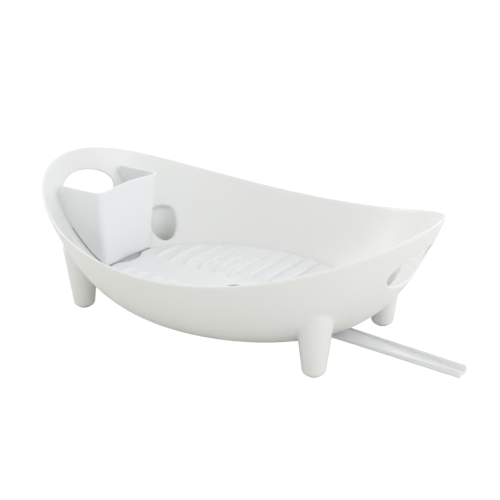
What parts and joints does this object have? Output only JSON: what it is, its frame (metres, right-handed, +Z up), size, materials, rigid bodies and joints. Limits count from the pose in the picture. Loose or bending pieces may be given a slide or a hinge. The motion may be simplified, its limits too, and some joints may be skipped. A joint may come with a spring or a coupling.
{
  "type": "dish drying rack",
  "caption": "Oval bathtub-shaped dish drying rack on tapered legs, with a ribbed drainer insert, a cutlery cup and a swivelling drain spout.",
  "frame": {"origin": "middle of the overall length and width with the spout straight, at the height of the counter", "axes": "+X along the length towards the spout's outlet, +Y across the width, +Z up"},
  "size_m": [0.5229, 0.3292, 0.1602],
  "materials": {
    "tub_plastic": "white injection-moulded plastic, satin gloss",
    "insert_plastic": "white injection-moulded plastic, satin gloss",
    "cup_plastic": "white injection-moulded plastic, satin gloss",
    "spout_plastic": "white injection-moulded plastic, satin gloss",
    "seal_rubber": "soft grey rubber",
    "pad_rubber": "soft off-white rubber"
  },
  "bodies": {
    "root": {"tub": "tub_plastic", "foot_pad_1": "pad_rubber", "foot_pad_2": "pad_rubber", "foot_pad_3": "pad_rubber", "foot_pad_4": "pad_rubber"},
    "insert": {"drainer_insert": "insert_plastic"},
    "cup": {"cutlery_cup": "cup_plastic"},
    "spout": {"drain_spout": "spout_plastic", "drain_collar": "spout_plastic", "outlet_seal": "seal_rubber"}
  },
  "joints": [
    {"name": "spout_swivel", "type": "hinge", "parent": "root", "child": "spout", "pos_m": [-0.01854, 0, 0.02], "axis": [0, 0, 1], "range_deg": [-15, 15]},
    {"name": "insert_lift", "type": "slide", "parent": "root", "child": "insert", "axis": [0, 0, 1], "range_m": [0, 0.14]},
    {"name": "cup_lift", "type": "slide", "parent": "insert", "child": "cup", "axis": [0, 0, 1], "range_m": [0, 0.14]}
  ]
}
